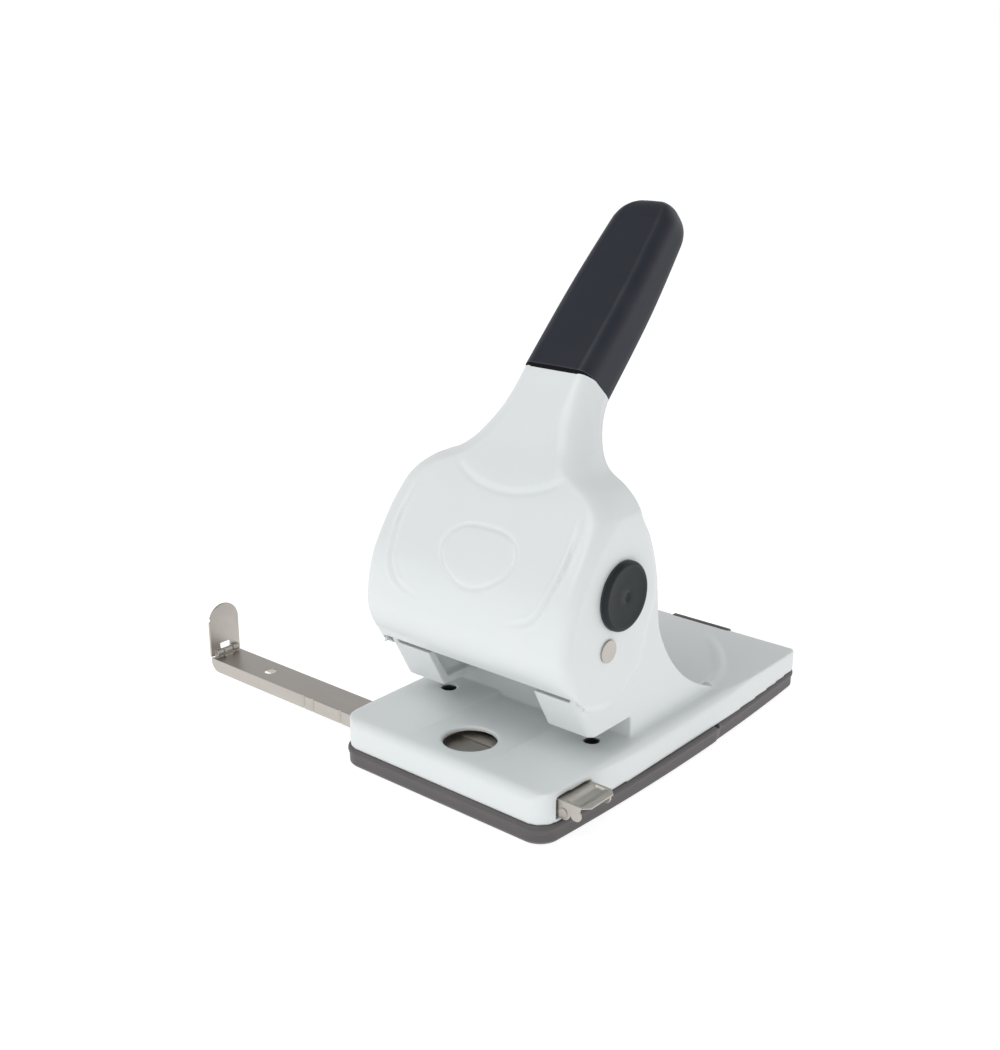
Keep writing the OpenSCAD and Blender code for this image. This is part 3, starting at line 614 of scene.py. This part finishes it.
def rounded_box(half, front, rear, corner_front, corner_rear, bow, steps=8):
    """A rounded rectangle, (x, depth), starting at the front's middle and going right."""
    points = []
    side = 10
    for k in range(side + 1):
        x = (half - corner_front) * k / side
        points.append((x, front + bow * (x / half) ** 2))
    turned = [(corner_front, front + corner_front, -90, 0), (corner_rear, rear - corner_rear, 0, 90)]
    for corner, middle, a0, a1 in turned:
        for k in range(1, steps + 1):
            angle = math.radians(mix(a0, a1, k / steps))
            points.append((half - corner + corner * math.cos(angle), middle + corner * math.sin(angle)))
        if a1 == 0:
            low, high = points[-1][1], rear - corner_rear
            for k in range(1, 6):
                points.append((half, mix(low, high, k / 6)))
    for k in range(1, side + 1):
        points.append(((half - corner_rear) * (1 - k / side), rear))
    mirrored = [(-x, y) for x, y in reversed(points[1:-1])]
    return points + mirrored


def make_grip():
    """The moulded sleeve, with a lip at its foot and a rounded top. The lip takes a near-black finish, a
    painted shadow of the gap where the hood goes in.
    """
    rows = []
    body = GRIP_LEN - GRIP_DOME
    levels = LIP_LEVELS + [1.6] + [1.6 + (body - 1.6) * k / 34 for k in range(1, 35)]
    levels += [body + GRIP_DOME * math.sin(math.radians(90 * k / 16)) for k in range(1, 17)]
    for up in levels:
        half = value_at(GRIP_HALF, up)
        front, rear = GRIP_FRONT, GRIP_FRONT + value_at(GRIP_THICK, up)
        lip = LIP_INSET * (1 - ease((up - LIP_LEVELS[0]) / (LIP_LEVELS[-1] - LIP_LEVELS[0])))
        half, front, rear = half - lip, front + lip, rear - lip
        over = max(0.0, (up - body) / GRIP_DOME)
        inset = 1 - math.sqrt(max(0.0, 1 - over ** 2.3))
        middle = (front + rear) / 2
        half *= 1 - inset * DOME_NARROWS
        front = mix(front, middle - 1.5, inset * DOME_THINS)
        rear = mix(rear, middle + 1.5, inset * DOME_THINS)
        depth = rear - front
        ring = rounded_box(half, front, rear, min(6.2, depth * 0.49), min(3.4, depth * 0.49), 0.5)
        rows.append([from_grip(x, depth, up) for x, depth in ring])
    obj = new_object("grip_sleeve", *grid(rows, ring=True, cap=True))
    finish_piece(obj, "lever", ["grip"], "navy_grip", angle=60)
    # the lip's faces take the near-black finish, painted shadow of the gap at the grip's foot
    obj.data.materials.append(MATERIALS["lip_painted_shadow"])
    lip_end = len(LIP_LEVELS) * len(rows[0])
    for polygon in obj.data.polygons:
        if max(polygon.vertices) < lip_end:
            polygon.material_index = 1


def make_caps():
    """The two round caps: a rounded rim, a face a little hollow, and a dimple in the middle."""
    face, cap_r, rim_r = 57.5, 14.5, 1.7
    profile = [(54.55, 14.2), (54.7, cap_r)]
    for turn in range(0, 91, 10):
        angle = math.radians(turn)
        profile.append((face - rim_r * (1 - math.sin(angle)), cap_r - rim_r * (1 - math.cos(angle))))
    profile += [(face - 0.15, 12.0), (face - 0.25, 6.0), (face - 0.2, 2.9), (face - 0.3, 2.4)]
    profile += [(face - 0.7, 1.7), (face - 0.75, 0.4), (face - 0.75, 0.05)]
    for side, name in ((-1, "left"), (1, "right")):
        obj = new_object("cap_" + name + "_moulded", *lathe_x(profile, SHAFT, mirror=side < 0))
        finish_piece(obj, "lever", ["cap_" + name], "slate_plastic", angle=60)


# ---------------------------------------------------------------- base

DECK_Z = 22.0
FRONT_Y = -51.8
REAR_Y = 148.7
RIDGE_RISE = 1.2
RIDGE_HALF = 4.2
RIDGE = smooth_line([(48.6, 68), (47.6, 78), (45.4, 88), (40.8, 98.5), (31.4, 112.5), (19.4, 126.2),
                     (9, 133.5)], 6)


def make_base():
    """The base casting with softened edges, and the low ridge that runs back along the deck."""
    obj = softened("base_casting", "base_cast", 0.6, 6)
    for vertex in obj.data.vertices:
        x, y, z = (c / MM for c in vertex.co)
        if y > 60 and 17 < z < DECK_Z + 0.5 and vertex.normal.z > 0.6:
            gap, where = distance_to_line(RIDGE, abs(x), y)
            if gap < RIDGE_HALF:
                rise = ease(where / 0.12) * ease((1 - where) / 0.35)
                vertex.co.z += RIDGE_RISE * rise * ease(1 - gap / RIDGE_HALF) * MM
    finish_piece(obj, "base", ["base_casting"], "white_paint")


BASE_HALF = 59
BASE_WIDEST = 45            # where along Y the base is widest
BASE_BOW = 2500             # the larger, the straighter its sides


def plan_half(y, grow):
    """Half width of the base's plan, with its bowed sides."""
    return BASE_HALF + grow - (y - BASE_WIDEST) ** 2 / BASE_BOW


def plan(grow, y0, y1, corner_low, corner_high, count=36):
    """Outline of a base piece from y0 to y1, as (x, y), going round anticlockwise."""
    right = []
    low, high = y0 - (grow if corner_low else 0), y1 + (grow if corner_high else 0)
    r_low, r_high = corner_low + (grow if corner_low else 0), corner_high + (grow if corner_high else 0)
    if corner_low:
        edge = plan_half(low + r_low, grow)
        for k in range(13):
            angle = math.radians(-90 + 90 * k / 12)
            right.append((edge - r_low + r_low * math.cos(angle), low + r_low + r_low * math.sin(angle)))
    for k in range(1 if corner_low else 0, count):
        y = mix(low + r_low, high - r_high, k / count)
        right.append((plan_half(y, grow), y))
    edge = plan_half(high - r_high, grow)
    if corner_high:
        for k in range(13):
            angle = math.radians(90 * k / 12)
            right.append((edge - r_high + r_high * math.cos(angle), high - r_high + r_high * math.sin(angle)))
    else:
        right.append((edge, high))
    return right + [(-x, y) for x, y in reversed(right)]


SKIRT_TOP = 8.4
SKIRT_FLOOR = 2.0
SKIRT_WALL = 5.2
BEAD_MIDDLE = 6.75          # height of the middle of the bead
BEAD_R = (0.9, 1.55)        # half its width and half its height


def skirt_rows(proud, y0, y1, corner_low, corner_high):
    """Rings of a moulded skirt: foot, side, rounded bead, rim, and down the inside."""
    base, bead = proud
    outside = [(base - 1.6, 0.0), (base - 0.7, 0.25), (base - 0.1, 0.9), (base, 1.8), (base, 4.4),
               (base + 0.1, 4.9)]
    for k in range(9):
        angle = math.radians(-70 + 150 * k / 8)
        reach = bead - BEAD_R[0] + BEAD_R[0] * math.cos(angle)
        outside.append((reach, BEAD_MIDDLE + BEAD_R[1] * math.sin(angle)))
    outside.append((bead - 1.6, SKIRT_TOP))
    inside = [(-SKIRT_WALL, SKIRT_TOP), (-SKIRT_WALL - 0.2, SKIRT_FLOOR + 0.6),
              (-SKIRT_WALL - 0.8, SKIRT_FLOOR)]
    rows = []
    for grow, z in outside + inside:
        rows.append([(x, y, z) for x, y in plan(grow, y0, y1, corner_low, corner_high)])
    return rows


TRAY_HINGE = (67.0, 3.5)    # as (y, z)
TRAY_REAR_R = 2.7           # radius of its rear end, below the hinge
TRAY_REAR_TOP = 7.3         # above this height it ends at the hinge


def clear_of_hinge(obj):
    """Shapes the tray's rear end about its hinge, so that it swings clear of the pad and the base."""
    for vertex in obj.data.vertices:
        y, z = vertex.co.y / MM, vertex.co.z / MM
        below = TRAY_HINGE[1] - z
        if y > TRAY_HINGE[0] and z > TRAY_REAR_TOP:
            vertex.co.y = TRAY_HINGE[0] * MM
        elif y > TRAY_HINGE[0] and below > 0:
            reach = math.sqrt(max(0.0, TRAY_REAR_R ** 2 - below ** 2))
            vertex.co.y = min(y, TRAY_HINGE[0] + reach) * MM


def make_skirt(name, node, body, proud, span, corners):
    """The chip tray or the rear pad, seen from outside as a low dark skirt under the base."""
    rows = skirt_rows(proud, span[0], span[1], corners[0], corners[1])
    obj = new_object(name, *grid(rows, ring=True, cap=True))
    if body == "tray":
        clear_of_hinge(obj)
    finish_piece(obj, body, [node], "dark_rubber", angle=35)


TAB_HALF = 16.7
TAB_THICK = 3.0
TAB_LOW = 7.4
TAB_HIGH = 18.2
TAB_EDGE = 0.7              # its top edges are rounded by this much


def make_rear_tab():
    """The rear pad's lift tab, which stands in the notch at the back of the base."""
    levels = [(TAB_LOW, 0), (TAB_HIGH - TAB_EDGE, 0), (TAB_HIGH - 0.3 * TAB_EDGE, 0.3 * TAB_EDGE),
              (TAB_HIGH, TAB_EDGE)]
    rows = []
    for z, inset in levels:
        y0, y1, x = REAR_Y - TAB_THICK + inset, REAR_Y - inset, TAB_HALF - inset
        rows.append([(-x, y0, z), (x, y0, z), (x, y1, z), (-x, y1, z)])
    obj = new_object("rear_tab", *grid(rows, ring=True, cap=True))
    finish_piece(obj, "base", ["rear_pad"], "dark_rubber", angle=35)


# ---------------------------------------------------------------- clip and springs

DISH_DEPTH = 0.8
DISH_HALF = 9.0             # half the dish's size along Y
DISH_FROM = 11.5            # distances of its two ends along X from the clip's outer end
DISH_TO = 2.6
DISH_SLOPE = 3.0


def make_clip():
    """The lock clip, with the shallow thumb dish pressed into its plate."""
    obj = softened("lock_clip", "clip_pressed", 0.2, 3)
    low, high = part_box("lock_clip")
    middle_y = (low.y + high.y) / 2 / MM
    end_x, top = high.x / MM, high.z / MM
    for vertex in obj.data.vertices:
        x, y, z = (c / MM for c in vertex.co)
        if z > top - 1.0:
            inside = ease((DISH_HALF - abs(y - middle_y)) / 1.2)
            dish = ease((x - end_x + DISH_FROM) / DISH_SLOPE) * ease((end_x - DISH_TO - x) / DISH_SLOPE)
            vertex.co.z -= DISH_DEPTH * inside * dish * MM
    finish_piece(obj, "clip", ["lock_clip"], "nickel_plate")


LEAF_THICK = 0.2
LEAF_SHORT = 4.5            # the strip ends this far inside its CAD block
LEAF_BOW = 0.4              # its rise, as a share of the block's height


def make_leaf():
    """The clip's leaf spring: a thin strip that bows up between the guide and the clip."""
    low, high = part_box("clip_spring")
    steps = 24
    y0, y1 = low.y / MM, high.y / MM
    rows = []
    for i in range(steps + 1):
        share = i / steps
        x = mix(low.x, high.x - LEAF_SHORT * MM, share) / MM
        z = low.z / MM + (high.z - low.z) / MM * LEAF_BOW * math.sin(math.pi * share)
        rows.append([(x, y0, z), (x, y1, z), (x, y1, z + LEAF_THICK), (x, y0, z + LEAF_THICK)])
    obj = new_object("clip_leaf", *grid(rows, ring=True, cap=True))
    finish_piece(obj, "base", ["clip_spring"], "spring_steel", angle=40, worn=False)
    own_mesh(obj)


PIN_X = 40                  # the pins stand this far to either side of the middle


def make_spring(side, name):
    """A pin's return spring: a coil of wire as tall as its CAD block."""
    low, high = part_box("pin_spring_" + name)
    turns, per_turn, sides = 5, 40, 12
    wire, radius = 0.65, 5.2    # half the wire's thickness, and the radius of a turn
    bottom, top = low.z / MM + wire, high.z / MM - wire
    rows = []
    for i in range(turns * per_turn + 1):
        turn = i / per_turn
        z = mix(bottom, top, turn / turns)
        angle = 2 * math.pi * turn
        row = []
        for k in range(sides):
            round_wire = 2 * math.pi * k / sides
            reach = radius + wire * math.cos(round_wire)
            place_x = side * PIN_X + reach * math.cos(angle)
            row.append((place_x, reach * math.sin(angle), z + wire * math.sin(round_wire)))
        rows.append(row)
    obj = new_object("spring_" + name + "_coil", *grid(rows, ring=True, cap=True))
    finish_piece(obj, "base", ["pin_spring_" + name], "spring_steel", angle=40, worn=False)
    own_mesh(obj)


# ---------------------------------------------------------------- CAD nodes kept

# Rounding of the edges of turned and pressed pieces, in millimetres
EDGE_ROUNDING = {"ruler_bar": 0.28, "stop_paddle": 0.18, "pivot_axle": 0.3, "ruler_guide": 0.12,
                 "guide_bush_left": 0.3, "guide_bush_right": 0.3, "roller_left": 0.5, "roller_right": 0.5,
                 "press_shaft": 0.4, "crosshead": 0.4, "lever_core": 0.3, "clip_rivets": 0.15,
                 "rear_pad_screws": 0.25, "core_screws": 0.25}


def round_edges(node, width):
    """Rounds a node's sharp edges with modifiers, so that its own mesh stays as it is."""
    weld = node.modifiers.new("weld", "WELD")
    weld.merge_threshold = 0.001 * MM
    faces = node.modifiers.new("faces", "DECIMATE")
    faces.decimate_type = "DISSOLVE"
    faces.angle_limit = math.radians(1)
    bevel = node.modifiers.new("edges", "BEVEL")
    bevel.width = width * MM
    bevel.segments = 3
    bevel.limit_method = "ANGLE"
    bevel.angle_limit = math.radians(40)
    bevel.use_clamp_overlap = False
    flat = node.modifiers.new("flat", "WEIGHTED_NORMAL")
    flat.mode = "FACE_AREA"
    flat.weight = 100


def keep_cad_nodes():
    """The machined and pressed nodes keep their CAD mesh and take their finish."""
    for part in frame["record"]["subparts"]:
        node = NODES[part["node"]]
        node.data.materials.clear()
        node.data.materials.append(MATERIALS[part["material_slot"]])
        for polygon in node.data.polygons:
            polygon.use_smooth = True
        node.data.set_sharp_from_angle(angle=math.radians(35))
        if part["node"] in EDGE_ROUNDING:
            round_edges(node, EDGE_ROUNDING[part["node"]])


make_camera()
make_lights()
make_sky()
make_floor()
MATERIALS = make_materials()
keep_cad_nodes()
make_hood()
make_grip()
make_caps()
make_base()
make_rear_tab()
make_clip()
make_leaf()
make_spring(-1, "left")
make_spring(1, "right")
# The skirts: how far the side and the bead stand out, the span along Y, and the corner radii
make_skirt("tray_moulded", "chip_tray", "tray", (0.6, 1.2), (FRONT_Y, 69.7), (9, 0))
make_skirt("pad_moulded", "rear_pad", "base", (0.0, 0.6), (70.4, REAR_Y), (0, 9))
